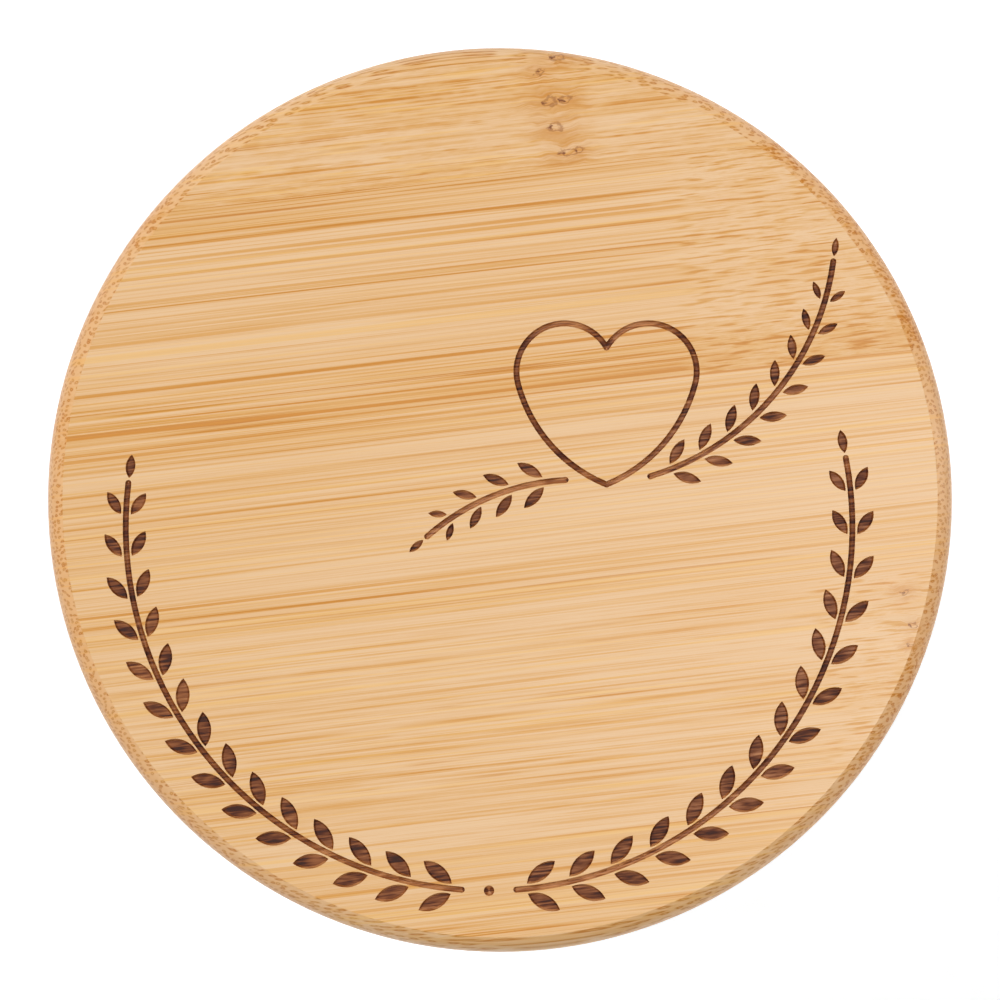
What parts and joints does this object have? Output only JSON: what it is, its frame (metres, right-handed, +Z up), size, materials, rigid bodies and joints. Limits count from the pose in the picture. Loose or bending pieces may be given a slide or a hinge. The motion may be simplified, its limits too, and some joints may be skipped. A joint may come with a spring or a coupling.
{
  "type": "coin bank jar",
  "caption": "Straight glass savings jar for coins and folded notes, closed by a push-in laminated bamboo lid with a silicone seal.",
  "frame": {"origin": "centre of the base, on the plane that the jar stands on", "axes": "+Z up through the axis of the jar and its lid; +X along the grain of the lid's top ply"},
  "size_m": [0.1, 0.1, 0.15],
  "materials": {
    "clear_glass": "clear, polished",
    "silicone": "translucent, satin",
    "bamboo_top": "fine sanded, satin lacquer, scorched engraving",
    "bamboo_core": "fine sanded, satin lacquer",
    "bamboo_plug": "fine sanded, satin lacquer"
  },
  "bodies": {
    "jar": {"glass_jar": "clear_glass"},
    "seal": {"seal_ring": "silicone"},
    "lid": {"lid_top_strip_1": "bamboo_top", "lid_top_strip_2": "bamboo_top", "lid_top_strip_3": "bamboo_top", "lid_top_strip_4": "bamboo_top", "lid_top_strip_5": "bamboo_top", "lid_core_strip_1": "bamboo_core", "lid_core_strip_2": "bamboo_core", "lid_core_strip_3": "bamboo_core", "lid_core_strip_4": "bamboo_core", "lid_core_strip_5": "bamboo_core", "lid_plug_strip_1": "bamboo_plug", "lid_plug_strip_2": "bamboo_plug", "lid_plug_strip_3": "bamboo_plug", "lid_plug_strip_4": "bamboo_plug"}
  },
  "joints": [
    {"name": "lid_lift", "type": "slide", "parent": "jar", "child": "seal", "axis": [0, 0, 1], "range_m": [0, 0.07]},
    {"name": "lid_turn", "type": "hinge", "parent": "seal", "child": "lid", "pos_m": [0, 0, 0.136], "axis": [0, 0, 1], "continuous": true}
  ]
}
